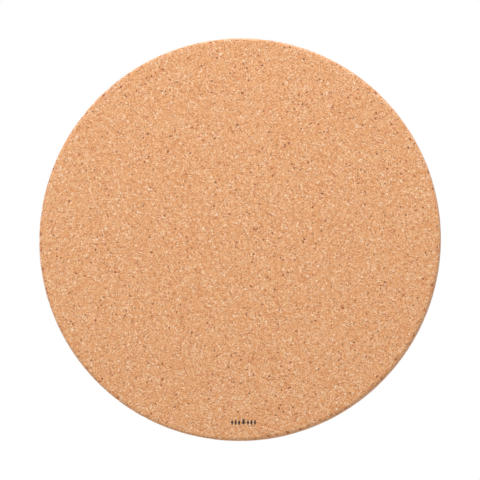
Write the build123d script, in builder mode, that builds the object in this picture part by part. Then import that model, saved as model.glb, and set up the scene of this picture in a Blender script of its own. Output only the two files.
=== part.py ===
from build123d import *
import os

# Frameless round cork bulletin board that hangs on a wall screw.
# Frame: +Z is up, the display face looks along -Y, and the origin is on the wall plane, where the
# bumpers rest, behind the centre of the board. All sizes are in millimetres.

# Cork slab
slab_diameter = 300.0
slab_thickness = 15.0
slab_edge_radius = 2.5

# Hardboard panel, glued into a recess in the slab's back and flush with it
panel_diameter = 260.0
panel_thickness = 3.0
panel_glue_gap = 0.2

# Keyhole hanger plate, screwed to the panel near the top of the board
hanger_height = 96.0
plate_width = 50.0
plate_height = 22.0
plate_thickness = 1.5
plate_corner_radius = 6.0
plate_edge_chamfer = 0.3
screw_spacing = 35.0

# Keyhole: the wall screw's head enters the round hole, and its shank then rides up the slot
entry_hole_radius = 4.75
entry_hole_drop = 3.5
slot_width = 5.0
slot_travel = 8.0

# Pocket behind the keyhole, cut through the panel and on into the cork, for the screw's head
pocket_width = 12.0
pocket_depth = 5.0

# Countersunk screws that hold the plate
screw_length = 10.0
screw_shank_diameter = 3.0
screw_head_diameter = 5.6
screw_head_rim = 0.2
screw_tip_length = 2.5
screw_recess_span = 3.0
screw_recess_width = 0.7
screw_recess_depth = 1.1
screw_recess_taper = 8.0
countersink_angle = 90.0

# Stick-on rubber bumpers that hold the back clear of the wall
bumper_diameter = 12.0
bumper_thickness = 3.0
bumper_edge_radius = 1.2
bumper_offset = 80.0

# Small printed mark near the bottom of the display face: a push pin between rows of lozenges.
# The ink sinks into the cork, so the mark is inlaid flush with the face.
mark_depth = 0.2
mark_centre = (4.0, -136.5)
mark_height = 4.8
lozenge_width = 1.9
lozenge_height = 4.4
lozenge_pitch = 2.6
first_lozenge = 3.3
lozenges_each_side = 3

# Places along Y: the wall is at 0, and everything else is in front of it
back_y = -bumper_thickness
face_y = back_y - slab_thickness
plate_outer_y = back_y + plate_thickness

# Sketches on REAR lie on the board's back, with local x and y along +X and +Z, and extrude
# towards the display face. Sketches on OUTSIDE lie there too, but extrude towards the wall.
REAR = Plane.XZ.offset(-back_y)
OUTSIDE = Plane(origin=(0, back_y, 0), x_dir=(-1, 0, 0), z_dir=(0, 1, 0))

entry_hole_height = hanger_height - entry_hole_drop
keyhole_middle = (0, entry_hole_height + slot_travel / 2)
screw_spots = [(side * screw_spacing / 2, hanger_height) for side in (-1, 1)]
screw_hole_depth = screw_length - plate_thickness

os.makedirs("parts", exist_ok=True)


def save(piece, name):
    """Label a finished piece and write it to its own STEP file."""
    piece.label = name
    export_step(piece, f"parts/{name}.step")


# Printed mark: half of the push pin's outline, tip at the bottom, is drawn and then mirrored
with BuildPart() as printed_mark:
    mark_plane = Plane(
        origin=(mark_centre[0], face_y + mark_depth, mark_centre[1]),
        x_dir=(1, 0, 0),
        z_dir=(0, -1, 0),
    )
    with BuildSketch(mark_plane):
        with BuildLine():
            Polyline(
                (0, mark_height / 2),
                (1.05, mark_height / 2),
                (1.05, 1.65),
                (0.65, 1.4),
                (0.8, 0.2),
                (1.45, -0.25),
                (1.45, -0.75),
                (0.28, -0.75),
                (0, -mark_height / 2),
            )
            mirror(about=Plane.YZ)
        make_face()
        for side in (-1, 1):
            for step in range(lozenges_each_side):
                with Locations((side * (first_lozenge + step * lozenge_pitch), 0)):
                    Polygon(
                        (lozenge_width / 2, 0),
                        (0, lozenge_height / 2),
                        (-lozenge_width / 2, 0),
                        (0, -lozenge_height / 2),
                    )
    extrude(amount=mark_depth)
save(printed_mark.part, "printed_mark")

# Cork slab: rounded front and back edges, a recess for the panel, a pocket for the wall screw's
# head, holes for the hanger screws, and the shallow inlay of the printed mark
with BuildPart() as cork_slab:
    with BuildSketch(REAR):
        Circle(slab_diameter / 2)
    extrude(amount=slab_thickness)
    fillet(cork_slab.edges().filter_by(GeomType.CIRCLE), radius=slab_edge_radius)
    with BuildSketch(REAR):
        Circle(panel_diameter / 2 + panel_glue_gap)
    extrude(amount=panel_thickness, mode=Mode.SUBTRACT)
    with BuildSketch(REAR):
        with Locations(keyhole_middle):
            SlotCenterToCenter(slot_travel, pocket_width, rotation=90)
    extrude(amount=pocket_depth, mode=Mode.SUBTRACT)
    with BuildSketch(REAR):
        with Locations(screw_spots):
            Circle(screw_shank_diameter / 2)
    extrude(amount=screw_hole_depth, mode=Mode.SUBTRACT)
    add(printed_mark.part, mode=Mode.SUBTRACT)
save(cork_slab.part, "cork_slab")

# Backing panel: a plain disc with the pocket's window and two screw holes
with BuildPart() as backing_panel:
    with BuildSketch(REAR):
        Circle(panel_diameter / 2)
        with Locations(keyhole_middle):
            SlotCenterToCenter(slot_travel, pocket_width, rotation=90, mode=Mode.SUBTRACT)
        with Locations(screw_spots):
            Circle(screw_shank_diameter / 2, mode=Mode.SUBTRACT)
    extrude(amount=panel_thickness)
save(backing_panel.part, "backing_panel")

# Hanger plate: stamped steel with a keyhole and two countersunk holes
with BuildPart() as hanger_plate:
    with BuildSketch(OUTSIDE):
        with Locations((0, hanger_height)):
            RectangleRounded(plate_width, plate_height, plate_corner_radius)
    extrude(amount=plate_thickness)
    outer_face = hanger_plate.faces().sort_by(Axis.Y)[-1]
    chamfer(outer_face.outer_wire().edges(), length=plate_edge_chamfer)
    with BuildSketch(OUTSIDE):
        with Locations((0, entry_hole_height)):
            Circle(entry_hole_radius)
        with Locations(keyhole_middle):
            SlotCenterToCenter(slot_travel, slot_width, rotation=90)
    extrude(amount=plate_thickness, mode=Mode.SUBTRACT)
    with Locations(OUTSIDE.offset(plate_thickness)):
        with Locations(screw_spots):
            CounterSinkHole(
                radius=screw_shank_diameter / 2,
                counter_sink_radius=screw_head_diameter / 2 + screw_head_rim,
                depth=plate_thickness,
                counter_sink_angle=countersink_angle,
            )
save(hanger_plate.part, "hanger_plate")

# Hanger screws: flush countersunk heads with a cross recess, plain shanks and pointed tips
head_radius = screw_head_diameter / 2
shank_radius = screw_shank_diameter / 2
rim_y = plate_outer_y - screw_head_rim
cone_end_y = rim_y - (head_radius - shank_radius)
tip_y = plate_outer_y - screw_length
with BuildPart() as hanger_screws:
    for x, z in screw_spots:
        with BuildSketch(Plane(origin=(x, 0, z), x_dir=(1, 0, 0), z_dir=(0, 0, 1))):
            with BuildLine():
                Polyline(
                    (0, plate_outer_y),
                    (head_radius, plate_outer_y),
                    (head_radius, rim_y),
                    (shank_radius, cone_end_y),
                    (shank_radius, tip_y + screw_tip_length),
                    (0, tip_y),
                    close=True,
                )
            make_face()
        revolve(axis=Axis((x, 0, z), (0, 1, 0)))
    with BuildSketch(REAR.offset(-plate_thickness)):
        with Locations(screw_spots):
            Rectangle(screw_recess_span, screw_recess_width)
            Rectangle(screw_recess_width, screw_recess_span)
    extrude(amount=screw_recess_depth, taper=screw_recess_taper, mode=Mode.SUBTRACT)
save(hanger_screws.part, "hanger_screws")

# Wall bumpers: short rubber discs with a rounded outer edge, one in each quarter of the back
for level, z in (("upper", bumper_offset), ("lower", -bumper_offset)):
    for hand, x in (("left", -bumper_offset), ("right", bumper_offset)):
        with BuildPart() as bumper:
            with BuildSketch(OUTSIDE):
                with Locations((-x, z)):
                    Circle(bumper_diameter / 2)
            extrude(amount=bumper_thickness)
            wall_edge = bumper.edges().filter_by(GeomType.CIRCLE).sort_by(Axis.Y)[-1]
            fillet(wall_edge, radius=bumper_edge_radius)
        save(bumper.part, f"bumper_{level}_{hand}")
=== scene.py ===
import math

import bmesh
import bpy
import numpy as np
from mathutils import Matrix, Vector, noise
from mathutils.geometry import delaunay_2d_cdt


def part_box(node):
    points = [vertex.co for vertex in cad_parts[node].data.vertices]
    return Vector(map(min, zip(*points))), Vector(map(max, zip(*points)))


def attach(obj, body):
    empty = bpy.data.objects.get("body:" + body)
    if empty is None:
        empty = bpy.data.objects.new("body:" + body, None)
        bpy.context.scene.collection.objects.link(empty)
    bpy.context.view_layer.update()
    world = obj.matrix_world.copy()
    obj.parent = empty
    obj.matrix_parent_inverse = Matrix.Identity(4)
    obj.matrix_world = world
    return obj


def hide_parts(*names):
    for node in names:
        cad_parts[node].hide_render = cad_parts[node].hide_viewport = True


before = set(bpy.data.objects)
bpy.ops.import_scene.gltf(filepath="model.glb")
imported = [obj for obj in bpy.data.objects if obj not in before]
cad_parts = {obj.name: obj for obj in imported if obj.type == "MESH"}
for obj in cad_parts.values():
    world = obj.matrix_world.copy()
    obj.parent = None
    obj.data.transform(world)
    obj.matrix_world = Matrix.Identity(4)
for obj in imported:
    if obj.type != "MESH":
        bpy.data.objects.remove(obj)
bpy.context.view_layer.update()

# The looks of a round cork bulletin board. Lengths are metres, +Z is up, the display face looks
# along -Y and the wall is the plane y = 0.

MM = 0.001
WHITE = (1.0, 1.0, 1.0)

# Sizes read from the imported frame
CORK_LOW, CORK_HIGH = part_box("cork_slab")
PANEL_LOW, PANEL_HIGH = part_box("backing_panel")
MARK_LOW, MARK_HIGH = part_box("printed_mark")
PLATE_LOW, PLATE_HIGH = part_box("hanger_plate")
SLAB_RADIUS = (CORK_HIGH.x - CORK_LOW.x) / 2
FACE_Y = CORK_LOW.y
BACK_Y = CORK_HIGH.y
PANEL_RADIUS = (PANEL_HIGH.x - PANEL_LOW.x) / 2
PANEL_FRONT_Y = PANEL_LOW.y

# The cork slab's shape
EDGE_RADIUS = 2.5 * MM
FLAT_RADIUS = SLAB_RADIUS - EDGE_RADIUS
RECESS_RADIUS = PANEL_RADIUS + 0.2 * MM
POCKET_RADIUS = 6.0 * MM
POCKET_FLOOR_Y = BACK_Y - 5.0 * MM
POCKET_LOW_Z = PLATE_LOW.z + 7.5 * MM
POCKET_TRAVEL = 8.0 * MM

# How finely the cork is meshed: points in each ring of the rim, and the spacing on the face
AROUND = 900
EDGE_STEPS = 7
SIDE_STEPS = 10
LEDGE_STEPS = 14
FACE_PITCH = 1.7 * MM
FACE_JITTER = 0.2 * FACE_PITCH

# Pits in the display face, and chips in the rim and back ledge. A pit is a point at its middle
# and three rings, each given as its share of the pit's radius, its points, and its share of the
# pit's depth.
PIT_COUNT = 300
PIT_GAP = 1.25
PIT_RINGS = ((0.5, 6, 0.8), (0.85, 9, 0.22), (1.12, 11, 0.0))
CHIP_COUNT = 340
CHIP_GAP = 1.2
CHIP_REACH = 1.3
CHIP_DEPTH = 0.45
CHIPPED_LENGTH = 34 * MM

# Unevenness of the sanded surface, which is rougher round the rim
SWELL = 0.03 * MM
RIM_SWELL = 1.4
SEED = 7

# How far the ink stands out of the face, so that the grain can't hide it
INK_PROUD = 0.10 * MM

# Camera: far off with a long lens, a little below the board's centre and to its right
CAMERA_AZIMUTH = 6.5
CAMERA_ELEVATION = -3.9
CAMERA_DISTANCE = 3.0
SENSOR_WIDTH = 36.0
DIAMETERS_IN_FRAME = 1.192
AIM_RIGHT = 0.5 * MM
AIM_DOWN = 0.5 * MM

# Studio: the sky is white to the camera, and lights the board less, with more from below
FLOOR_RADIUS = 14.0
FLOOR_Z = -0.62
FLOOR_GLOW = 0.5
SKY_SEEN = 1.0
SKY_LIGHT = 0.31
SKY_LIGHT_BELOW = 0.33


# ---------------------------------------------------------------- node helpers


class Nodes:
    """A node tree, with short ways to add and link nodes."""

    def __init__(self, tree):
        self.tree = tree

    def add(self, kind, inputs=None, **settings):
        node = self.tree.nodes.new(kind)
        for name, value in settings.items():
            setattr(node, name, value)
        for key, value in (inputs or {}).items():
            self.feed(node.inputs[key], value)
        return node

    def feed(self, socket, value):
        """Link a socket to another, or set it to a number, a vector or a colour."""
        if isinstance(value, bpy.types.NodeSocket):
            self.tree.links.new(value, socket)
        elif socket.type == "RGBA":
            socket.default_value = (*value, 1.0)
        else:
            socket.default_value = value


class Shading(Nodes):
    """One material's nodes. Sizes and depths are in millimetres."""

    def __init__(self, name):
        self.material = bpy.data.materials.new(name)
        self.material.use_nodes = True
        super().__init__(self.material.node_tree)
        self.shader = next(n for n in self.tree.nodes if n.type == "BSDF_PRINCIPLED")

    def surface(self, **inputs):
        """Feed the shader's sockets, named with _ for each space, and give back the material."""
        for name, value in inputs.items():
            self.feed(self.shader.inputs[name.replace("_", " ")], value)
        return self.material

    def millimetres(self):
        """The object's own coordinates, in millimetres."""
        place = self.add("ShaderNodeTexCoord").outputs["Object"]
        scaled = self.add("ShaderNodeVectorMath", {0: place, "Scale": 1 / MM}, operation="SCALE")
        return scaled.outputs[0]

    def stretch(self, place, factors):
        return self.add("ShaderNodeVectorMath", {0: place, 1: factors}, operation="MULTIPLY").outputs[0]

    def noise(self, place, size, detail=2.0, output="Fac"):
        """Smooth noise with features of about that size."""
        inputs = {"Vector": place, "Scale": 1 / size, "Detail": detail}
        return self.add("ShaderNodeTexNoise", inputs).outputs[output]

    def warp(self, place, size, amount):
        """place moved about by up to amount, over features of that size."""
        offset = self.add(
            "ShaderNodeVectorMath",
            {0: self.noise(place, size, 1.0, "Color"), 1: (0.5, 0.5, 0.5)},
            operation="SUBTRACT",
        ).outputs[0]
        scaled = self.add("ShaderNodeVectorMath", {0: offset, "Scale": 2 * amount}, operation="SCALE")
        moved = self.add("ShaderNodeVectorMath", {0: place, 1: scaled.outputs[0]}, operation="ADD")
        return moved.outputs[0]

    def cells(self, place, size, feature="F1"):
        """Irregular granules of about that size."""
        inputs = {"Vector": place, "Scale": 1 / size}
        return self.add("ShaderNodeTexVoronoi", inputs, feature=feature)

    def tones(self, cells):
        """Three unrelated random numbers of 0 to 1 for each granule."""
        return self.add("ShaderNodeSeparateColor", {0: cells.outputs["Color"]}).outputs

    def math(self, operation, a, b=0.0):
        return self.add("ShaderNodeMath", {0: a, 1: b}, operation=operation).outputs[0]

    def total(self, terms):
        """The sum of socket * weight over the terms."""
        result = 0.0
        for socket, weight in terms:
            inputs = {0: socket, 1: weight, 2: result}
            result = self.add("ShaderNodeMath", inputs, operation="MULTIPLY_ADD").outputs[0]
        return result

    def between(self, value, low, high, to_low=0.0, to_high=1.0):
        """value from low to high, smoothly mapped to to_low up to to_high."""
        inputs = {"Value": value, 1: low, 2: high, 3: to_low, 4: to_high}
        return self.add("ShaderNodeMapRange", inputs, interpolation_type="SMOOTHSTEP").outputs[0]

    def ramp(self, value, stops):
        node = self.add("ShaderNodeValToRGB", {0: value})
        elements = node.color_ramp.elements
        while len(elements) < len(stops):
            elements.new(0.5)
        for element, (position, colour) in zip(elements, stops):
            element.position = position
            element.color = (*colour, 1.0)
        return node.outputs[0]

    def mix(self, share, a, b):
        """Colour a, turning to colour b as share goes from 0 to 1."""
        node = self.add("ShaderNodeMix", data_type="RGBA")
        for socket, value in zip([s for s in node.inputs if s.enabled], (share, a, b)):
            self.feed(socket, value)
        return next(s for s in node.outputs if s.enabled)

    def bump(self, height, depth, strength):
        """A normal from a height of 0 to 1 that stands for that depth."""
        inputs = {"Height": height, "Distance": depth * MM, "Strength": strength}
        return self.add("ShaderNodeBump", inputs).outputs[0]


def srgb(red, green, blue):
    """A colour of 0 to 255 as the linear numbers that a shader takes."""
    shares = [c / 255 for c in (red, green, blue)]
    return tuple(c / 12.92 if c <= 0.04045 else ((c + 0.055) / 1.055) ** 2.4 for c in shares)


# ---------------------------------------------------------------- materials


def cork_material():
    """Pressed cork granules: tan grains of mixed size, a few dark bark specks and pale grains.
    The mesh's pit attribute darkens its pits and chips: painted shade in these hollows."""
    m = Shading("cork")
    grain_size = 0.50
    place = m.millimetres()
    loose = m.warp(place, 0.8, 0.3)
    coarse_tone = m.tones(m.cells(m.warp(place, 2.0, 0.8), 2.6))[0]
    grain_tone, grain_tint = m.tones(m.cells(loose, grain_size))[:2]
    fine_tone = m.tones(m.cells(loose, 0.32))[0]
    speck_kind, speck_tone = m.tones(m.cells(loose, 1.05))[:2]

    # How light each granule is, with more contrast in some patches than in others
    cloud = m.noise(place, 14.0, 3.0)
    tone = m.total([(grain_tone, 0.70), (fine_tone, 0.32), (coarse_tone, 0.03), (cloud, 0.05)])
    middle_tone = 0.555
    contrast = m.between(m.noise(place, 3.4, 2.0), 0.35, 0.65, 0.68, 1.30)
    from_middle = m.math("MULTIPLY", m.math("SUBTRACT", tone, middle_tone), contrast)
    tan = m.ramp(
        m.math("ADD", from_middle, 0.5),
        [
            (0.08, srgb(180, 89, 34)),
            (0.30, srgb(214, 136, 77)),
            (0.50, srgb(232, 164, 107)),
            (0.70, srgb(244, 193, 144)),
            (0.92, srgb(254, 229, 192)),
        ],
    )
    redder = m.mix(m.between(grain_tint, 0.2, 1.0, 0.0, 0.2), tan, srgb(226, 156, 102))

    # The few granules at each end of speck_kind are bark or pale
    bark_share = m.between(speck_tone, 0.0, 1.0, 0.55, 1.0)
    bark = m.math("MULTIPLY", m.between(speck_kind, 0.0145, 0.0105), bark_share)
    with_bark = m.mix(bark, redder, srgb(128, 48, 10))
    pale = m.between(speck_kind, 0.980, 0.985, 0.0, 0.6)
    with_pale = m.mix(pale, with_bark, srgb(255, 238, 212))
    # Painted shade: the pit attribute darkens the pits and chips to a dark red-brown, most at their
    # middles
    pit = m.add("ShaderNodeAttribute", attribute_name="pit").outputs["Fac"]
    colour = m.mix(m.between(pit, 0.15, 0.9, 0.0, 0.85), with_pale, srgb(146, 68, 26))

    edges = m.cells(loose, grain_size, "DISTANCE_TO_EDGE").outputs[0]
    height = m.total([(m.between(edges, 0.0, 0.22), 0.55), (grain_tone, 0.25), (fine_tone, 0.2)])
    return m.surface(
        Base_Color=colour,
        Roughness=m.between(tone, 0.2, 0.8, 0.80, 0.66),
        Normal=m.bump(height, 0.06, 0.4),
        Specular_IOR_Level=0.45,
        Sheen_Weight=0.18,
        Sheen_Roughness=0.45,
    )


def ink_material():
    """Dark brown-black ink, a little broken by the grain of the cork under it."""
    m = Shading("print")
    place = m.millimetres()
    grain_tone = m.tones(m.cells(m.warp(place, 0.9, 0.45), 1.25))[0]
    worn = m.between(grain_tone, 0.75, 1.0, 0.0, 0.35)
    return m.surface(
        Base_Color=m.mix(worn, srgb(38, 25, 18), srgb(104, 66, 42)),
        Roughness=m.between(m.noise(place, 0.5), 0.3, 0.7, 0.55, 0.75),
        Normal=m.bump(m.noise(place, 0.6), 0.03, 0.5),
    )


def hardboard_material():
    """Smooth brown hardboard with short pressed fibres and a few darker flecks."""
    m = Shading("hardboard")
    place = m.millimetres()
    cloud = m.noise(place, 26.0, 4.0)
    fibres_across = m.noise(m.stretch(m.warp(place, 9.0, 3.0), (0.2, 1.0, 1.7)), 0.8, 2.0)
    fibres_up = m.noise(m.stretch(m.warp(place, 7.0, 3.0), (1.8, 1.0, 0.22)), 0.8, 2.0)
    fleck_kind = m.tones(m.cells(m.warp(place, 2.5, 1.2), 2.4))[1]
    tone = m.total([(cloud, 0.28), (fibres_across, 0.38), (fibres_up, 0.34)])
    brown = m.ramp(
        tone,
        [
            (0.30, srgb(88, 58, 36)),
            (0.50, srgb(122, 87, 58)),
            (0.70, srgb(158, 120, 86)),
        ],
    )
    fibres = m.total([(fibres_across, 0.5), (fibres_up, 0.5)])
    return m.surface(
        Base_Color=m.mix(m.between(fleck_kind, 0.05, 0.03, 0.0, 0.5), brown, srgb(66, 44, 28)),
        Roughness=m.between(tone, 0.35, 0.65, 0.62, 0.46),
        Normal=m.bump(fibres, 0.06, 0.5),
    )


def zinc_material(name, dull, mid, bright, rough, smooth):
    """Zinc-plated steel: a faint spangle under fine rolling marks, duller where it is handled."""
    m = Shading(name)
    place = m.millimetres()
    spangle = m.tones(m.cells(m.warp(place, 2.0, 0.8), 2.2))[0]
    marks = m.noise(m.stretch(place, (0.05, 1.0, 3.0)), 0.5, 3.0)
    smudge = m.noise(place, 6.0, 2.0)
    tone = m.total([(spangle, 0.3), (marks, 0.3), (smudge, 0.4)])
    return m.surface(
        Base_Color=m.ramp(tone, [(0.25, dull), (0.5, mid), (0.8, bright)]),
        Metallic=1.0,
        Roughness=m.between(tone, 0.25, 0.75, rough, smooth),
        Normal=m.bump(marks, 0.01, 0.5),
    )


def rubber_material():
    """Soft black rubber with a dusty bloom."""
    m = Shading("rubber")
    place = m.millimetres()
    dust = m.noise(place, 2.6, 4.0)
    return m.surface(
        Base_Color=m.mix(m.between(dust, 0.45, 0.8, 0.0, 0.5), srgb(34, 34, 35), srgb(84, 82, 80)),
        Roughness=m.between(dust, 0.3, 0.7, 0.62, 0.82),
        Normal=m.bump(m.noise(place, 0.35, 2.0), 0.03, 0.6),
    )


def floor_material():
    """Pale grey with very broad, faint clouds, and a glow that keeps it pale from every side."""
    m = Shading("studio_floor")
    tone = m.noise(m.millimetres(), 600.0, 2.0)
    return m.surface(
        Base_Color=m.ramp(tone, [(0.3, (0.80, 0.80, 0.80)), (0.7, (0.84, 0.84, 0.84))]),
        Roughness=0.8,
        Emission_Color=WHITE,
        Emission_Strength=FLOOR_GLOW,
    )


# ---------------------------------------------------------------- cork slab


def scattered(count, place_of, gap_of, random):
    """Places drawn by place_of that keep clear of each other by their sizes. Each is (x, y, size)."""
    kept = np.empty((0, 3))
    while len(kept) < count:
        x, y, size = place_of(random)
        apart = np.hypot(kept[:, 0] - x, kept[:, 1] - y)
        if np.all(apart > gap_of * (kept[:, 2] + size)):
            kept = np.vstack([kept, (x, y, size)])
    return kept


def face_pit(random):
    """A pit in the display face: its place and radius, clear of the rim."""
    turn = random.uniform(0, 2 * math.pi)
    reach = (FLAT_RADIUS - 2.5 * MM) * math.sqrt(random.uniform(0, 1))
    size = MM * min(1.3, 0.35 + random.exponential(0.18))
    return reach * math.cos(turn), reach * math.sin(turn), size


def rim_chip(random):
    """A chip in the rim or back: how far round and how far along the profile, and its radius.
    Most are near the front edge, which is knocked most."""
    size = MM * random.uniform(0.7, 1.5)
    along = CHIPPED_LENGTH * random.uniform(0, 1) ** 1.7
    return random.uniform(0, 2 * math.pi) * SLAB_RADIUS, along, size


def swell(point):
    """The gentle unevenness of a sanded cork surface, at that point."""
    return SWELL * noise.noise(point / (3.5 * MM)) + SWELL * noise.noise(point / (11 * MM))


def mark_clearance(x, z):
    """How far outside the printed mark's box a point of the face is, along its nearer side."""
    aside = max(MARK_LOW.x - x, x - MARK_HIGH.x)
    above = max(MARK_LOW.z - z, z - MARK_HIGH.z)
    return max(aside, above)


def pit_points(pits, random):
    """Points over each pit, its middle first, as (x, z, depth, pit share)."""
    points = []
    for x, z, size in pits:
        depth = size * random.uniform(0.35, 0.6)
        start = random.uniform(0, 2 * math.pi)
        points.append((x, z, depth, 1.0))
        for ring, count, share in PIT_RINGS:
            for step in range(count):
                turn = start + 2 * math.pi * step / count
                reach = size * ring * random.uniform(0.88, 1.12)
                px, pz = x + reach * math.cos(turn), z + reach * math.sin(turn)
                points.append((px, pz, depth * share, share))
    return points


def face_points(random):
    """The display face's points inside its border, as (x, z, depth, pit share): the pits, and a
    triangular grid, slightly shuffled, between them."""
    pits = scattered(PIT_COUNT, face_pit, PIT_GAP, random)
    pits = np.array([p for p in pits if mark_clearance(p[0], p[1]) > p[2] + 0.5 * MM])
    points = pit_points(pits, random)
    limit = FLAT_RADIUS - 0.6 * FACE_PITCH
    row_pitch = FACE_PITCH * math.sqrt(3) / 2
    rows = int(limit / row_pitch) + 1
    for row in range(-rows, rows + 1):
        for column in range(-rows, rows + 1):
            x = (column + (row % 2) / 2) * FACE_PITCH + random.uniform(-1, 1) * FACE_JITTER
            z = row * row_pitch + random.uniform(-1, 1) * FACE_JITTER
            if math.hypot(x, z) > limit:
                continue
            if np.all(np.hypot(pits[:, 0] - x, pits[:, 1] - z) > 1.3 * pits[:, 2] + 0.4 * FACE_PITCH):
                points.append((x, z, 0.0, 0.0))
    return points


def rim_profile():
    """The slab's outline from the face's border to the recess floor, as (radius, y) pairs."""
    side_low, side_high = FACE_Y + EDGE_RADIUS, BACK_Y - EDGE_RADIUS
    ledge = RECESS_RADIUS + 0.4 * MM
    quarter = [math.pi / 2 * i / EDGE_STEPS for i in range(EDGE_STEPS + 1)]
    front_edge = [
        (FLAT_RADIUS + EDGE_RADIUS * math.sin(a), FACE_Y + EDGE_RADIUS * (1 - math.cos(a)))
        for a in quarter
    ]
    side = [
        (SLAB_RADIUS, side_low + (side_high - side_low) * i / SIDE_STEPS) for i in range(1, SIDE_STEPS)
    ]
    back_edge = [
        (FLAT_RADIUS + EDGE_RADIUS * math.cos(a), BACK_Y - EDGE_RADIUS * (1 - math.sin(a)))
        for a in quarter
    ]
    back = [
        (FLAT_RADIUS + (ledge - FLAT_RADIUS) * i / LEDGE_STEPS, BACK_Y)
        for i in range(1, LEDGE_STEPS + 1)
    ]
    recess = [
        (RECESS_RADIUS + 0.1 * MM, BACK_Y - 0.12 * MM),
        (RECESS_RADIUS, BACK_Y - 0.4 * MM),
        (RECESS_RADIUS, PANEL_FRONT_Y),
    ]
    return front_edge + side + back_edge + back + recess


def chip_at(chips, turn, along):
    """How far the nearest chip pushes a point of the rim in, and the point's share of that chip."""
    once_round = 2 * math.pi * SLAB_RADIUS
    gap_round = (turn * SLAB_RADIUS - chips[:, 0] + once_round / 2) % once_round - once_round / 2
    away = np.hypot(gap_round, along - chips[:, 1]) / chips[:, 2]
    nearest = int(away.argmin())
    share = max(0.0, 1 - (away[nearest] / CHIP_REACH) ** 2)
    return CHIP_DEPTH * chips[nearest, 2] * share, share


def rim_rings(profile, random):
    """A ring of points at each step of the profile, pushed in at the chips, and their chip shares."""
    along = [0.0]
    for (r0, y0), (r1, y1) in zip(profile, profile[1:]):
        along.append(along[-1] + math.hypot(r1 - r0, y1 - y0))
    chips = scattered(CHIP_COUNT, rim_chip, CHIP_GAP, random)
    points, shares = [], []
    for i, (radius, y) in enumerate(profile):
        before, after = profile[max(i - 1, 0)], profile[min(i + 1, len(profile) - 1)]
        along_r, along_y = after[0] - before[0], after[1] - before[1]
        length = math.hypot(along_r, along_y)
        out_r, out_y = along_y / length, -along_r / length
        # The face's border and the recess, where the panel fits, keep their exact shape
        worn = i > 0 and radius > RECESS_RADIUS + 0.3 * MM
        for j in range(AROUND):
            turn = 2 * math.pi * j / AROUND
            c, s = math.cos(turn), math.sin(turn)
            here = Vector((radius * c, y, radius * s))
            out, share = 0.0, 0.0
            if worn:
                inwards, share = chip_at(chips, turn, along[i])
                out = RIM_SWELL * swell(here) - inwards
            points.append((here.x + out * out_r * c, here.y + out * out_y, here.z + out * out_r * s))
            shares.append(share)
    return points, shares


def pocket_outline():
    """The pocket's outline as (x, z) points: two half circles joined by straight sides."""
    steps = 14
    half_turn = [math.pi * i / steps for i in range(steps + 1)]
    high = POCKET_LOW_Z + POCKET_TRAVEL
    upper = [(POCKET_RADIUS * math.cos(a), high + POCKET_RADIUS * math.sin(a)) for a in half_turn]
    lower = [
        (-POCKET_RADIUS * math.cos(a), POCKET_LOW_Z - POCKET_RADIUS * math.sin(a)) for a in half_turn
    ]
    return upper + lower


def triangulated(flat):
    """Triangles that fill the outline of (x, z) points, as triples of their places in the list."""
    made = delaunay_2d_cdt([Vector(p) for p in flat], [], [], 0, 1e-7, True)
    triangles, originals = made[2], made[3]
    return [tuple(originals[v][0] for v in triangle) for triangle in triangles]


def closed_mesh(name, points, faces, material, attributes=None):
    """A smooth-shaded mesh object from points and faces, with its normals turned outwards."""
    mesh = bpy.data.meshes.new(name)
    mesh.from_pydata([tuple(p) for p in points], [], faces)
    for key, values in (attributes or {}).items():
        mesh.attributes.new(key, "FLOAT", "POINT").data.foreach_set("value", values)
    work = bmesh.new()
    work.from_mesh(mesh)
    bmesh.ops.remove_doubles(work, verts=work.verts, dist=0.001 * MM)
    bmesh.ops.recalc_face_normals(work, faces=work.faces)
    work.to_mesh(mesh)
    work.free()
    mesh.shade_smooth()
    mesh.set_sharp_from_angle(angle=math.radians(60))
    mesh.materials.append(material)
    made = bpy.data.objects.new(name, mesh)
    bpy.context.scene.collection.objects.link(made)
    return made


def build_cork(material):
    """The cork slab as one closed mesh: pitted face, rounded and slightly chipped rim, back ledge,
    the panel's recess and the pocket behind the keyhole."""
    random = np.random.RandomState(SEED)
    profile = rim_profile()
    points, pit_shade = rim_rings(profile, random)
    faces = []
    last = (len(profile) - 1) * AROUND
    for ring in range(0, last, AROUND):
        for j in range(AROUND):
            k = (j + 1) % AROUND
            faces.append((ring + j, ring + k, ring + AROUND + k, ring + AROUND + j))

    # Display face: a triangulated sheet inside the first ring
    sheet = face_points(random)
    border = [(x, z) for x, y, z in points[:AROUND]]
    inside = len(points)
    for x, z, depth, share in sheet:
        unevenness = swell(Vector((x, FACE_Y, z))) * (1 - share)
        points.append((x, FACE_Y + depth - unevenness, z))
        pit_shade.append(share)
    for corners in triangulated(border + [(x, z) for x, z, depth, share in sheet]):
        faces.append(tuple(c if c < AROUND else inside + c - AROUND for c in corners))

    # Recess floor: a triangulated sheet inside the last ring, open where the pocket is
    border = [(x, z) for x, y, z in points[last : last + AROUND]]
    outline = pocket_outline()
    count = len(outline)
    top = len(points)
    points += [(x, PANEL_FRONT_Y, z) for x, z in outline]
    bottom = len(points)
    points += [(x, POCKET_FLOOR_Y, z) for x, z in outline]
    pit_shade += [0.0] * (2 * count)
    for corners in triangulated(border + outline):
        if any(c < AROUND for c in corners):
            faces.append(tuple(last + c if c < AROUND else top + c - AROUND for c in corners))

    # Pocket: its wall and its floor
    for j in range(count):
        k = (j + 1) % count
        faces.append((top + j, top + k, bottom + k, bottom + j))
    faces.append(tuple(bottom + j for j in range(count)))
    # The pit attribute carries the painted shade of the pits and chips
    return closed_mesh("cork_body", points, faces, material, {"pit": pit_shade})


def build_ink(material):
    """The printed mark: its CAD mesh, moved out of the face by INK_PROUD."""
    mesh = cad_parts["printed_mark"].data
    points = [v.co - Vector((0, INK_PROUD, 0)) for v in mesh.vertices]
    return closed_mesh("ink_mark", points, [tuple(f.vertices) for f in mesh.polygons], material)


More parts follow.
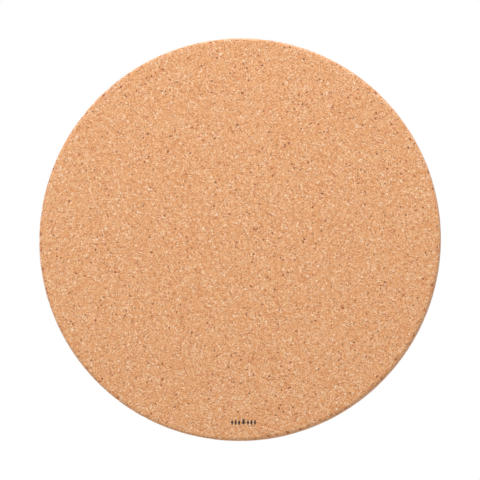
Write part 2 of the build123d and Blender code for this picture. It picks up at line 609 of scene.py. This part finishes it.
def cad_finishes():
    """The material of each CAD node that keeps its own mesh."""
    plate_zinc = zinc_material(
        "zinc_plate", srgb(138, 141, 144), srgb(182, 185, 187), srgb(208, 208, 203), 0.46, 0.32
    )
    screw_zinc = zinc_material(
        "zinc_screws", srgb(150, 132, 88), srgb(196, 176, 122), srgb(222, 206, 156), 0.38, 0.24
    )
    finishes = {
        "backing_panel": hardboard_material(),
        "hanger_plate": plate_zinc,
        "hanger_screws": screw_zinc,
    }
    rubber = rubber_material()
    bumpers = [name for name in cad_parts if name.startswith("bumper_")]
    finishes.update((name, rubber) for name in bumpers)
    return finishes


# ---------------------------------------------------------------- the object

cork = build_cork(cork_material())
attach(cork, "root")
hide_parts("cork_slab")

ink = build_ink(ink_material())
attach(ink, "root")
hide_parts("printed_mark")

for name, material in cad_finishes().items():
    for material_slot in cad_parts[name].material_slots:
        material_slot.link = "OBJECT"
        material_slot.material = material

# ---------------------------------------------------------------- floor, light and camera

scene = bpy.context.scene


def studio_world():
    """A white sky for the camera. What lights the board is dimmer, and brighter below than above."""
    world = bpy.data.worlds.new("studio")
    world.use_nodes = True
    world.node_tree.nodes.clear()
    sky = Nodes(world.node_tree)
    place = sky.add("ShaderNodeTexCoord").outputs["Generated"]
    height = sky.add("ShaderNodeSeparateXYZ", {0: place}).outputs["Z"]
    low_strength = SKY_LIGHT + SKY_LIGHT_BELOW
    strengths = {"From Min": -1.0, "From Max": 0.0, "To Min": low_strength, "To Max": SKY_LIGHT}
    strength = sky.add("ShaderNodeMapRange", {"Value": height, **strengths}).outputs["Result"]
    lit = sky.add("ShaderNodeBackground", {"Color": WHITE, "Strength": strength}).outputs[0]
    seen = sky.add("ShaderNodeBackground", {"Color": WHITE, "Strength": SKY_SEEN}).outputs[0]
    by_camera = sky.add("ShaderNodeLightPath").outputs["Is Camera Ray"]
    blend = sky.add("ShaderNodeMixShader", {0: by_camera, 1: lit, 2: seen}).outputs[0]
    sky.add("ShaderNodeOutputWorld", {0: blend})
    return world


def direction(azimuth, elevation):
    """The unit vector from the board towards azimuth and elevation in degrees; 0, 0 is -Y."""
    a, e = math.radians(azimuth), math.radians(elevation)
    return Vector((math.sin(a) * math.cos(e), -math.cos(a) * math.cos(e), math.sin(e)))


def lamp_object(name, light, towards):
    """A lamp for that light, turned to shine on the board from the direction towards."""
    lamp = bpy.data.objects.new(name, light)
    lamp.rotation_euler = towards.to_track_quat("Z", "Y").to_euler()
    scene.collection.objects.link(lamp)
    return lamp


def softbox(name, azimuth, elevation, distance, size, power, sheen_only=False):
    """A round lamp that faces the board. One that is sheen_only adds highlights and nothing else."""
    light = bpy.data.lights.new(name, "AREA")
    light.shape = "DISK"
    light.size = size
    light.energy = power
    towards = direction(azimuth, elevation)
    lamp = lamp_object(name, light, towards)
    lamp.location = towards * distance
    lamp.visible_camera = False
    lamp.visible_diffuse = not sheen_only


def broad_sun(name, azimuth, elevation, spread, strength):
    """A sun whose disc is spread degrees across, for soft shadows."""
    light = bpy.data.lights.new(name, "SUN")
    light.angle = math.radians(spread)
    light.energy = strength
    lamp_object(name, light, direction(azimuth, elevation))


def long_lens_camera():
    """The camera, aimed at the slab's middle. Its view is DIAMETERS_IN_FRAME boards wide."""
    data = bpy.data.cameras.new("camera")
    data.sensor_width = SENSOR_WIDTH
    frame_width = 2 * SLAB_RADIUS * DIAMETERS_IN_FRAME
    data.lens = SENSOR_WIDTH * CAMERA_DISTANCE / frame_width
    towards = direction(CAMERA_AZIMUTH, CAMERA_ELEVATION)
    across = Vector((0, 0, 1)).cross(towards).normalized()
    middle = Vector((0, (FACE_Y + BACK_Y) / 2, 0))
    target = middle + across * AIM_RIGHT - towards.cross(across) * AIM_DOWN
    camera = bpy.data.objects.new("camera", data)
    camera.location = target + towards * CAMERA_DISTANCE
    camera.rotation_euler = towards.to_track_quat("Z", "Y").to_euler()
    scene.collection.objects.link(camera)
    return camera


bpy.ops.mesh.primitive_circle_add(
    vertices=96, radius=FLOOR_RADIUS, fill_type="NGON", location=(0, 0, FLOOR_Z)
)
floor = bpy.context.object
floor.name = "studio_floor"
floor.data.materials.append(floor_material())
# The floor looks pale, but throws no diffuse light on the board
floor.visible_diffuse = False

scene.world = studio_world()
broad_sun("overhead", 5, 68, 32, 0.85)
softbox("key", -6, 35, 1.3, 0.75, 7.2)
softbox("left_fill", -70, 10, 1.9, 1.1, 8.6)
softbox("right_fill", 70, 35, 1.9, 1.1, 8.0)
softbox("low_right_fill", 70, -10, 1.9, 1.1, 2.2)
softbox("back_fill", 200, 28, 1.9, 1.1, 20.0)
softbox("top_light", 10, 98, 1.5, 0.9, 1.5)
softbox("top_sheen", 0, 95, 1.5, 1.4, 38.0, sheen_only=True)
softbox("left_sheen", -88, 0, 1.5, 1.4, 14.0, sheen_only=True)
scene.camera = long_lens_camera()
scene.view_settings.view_transform = "Standard"
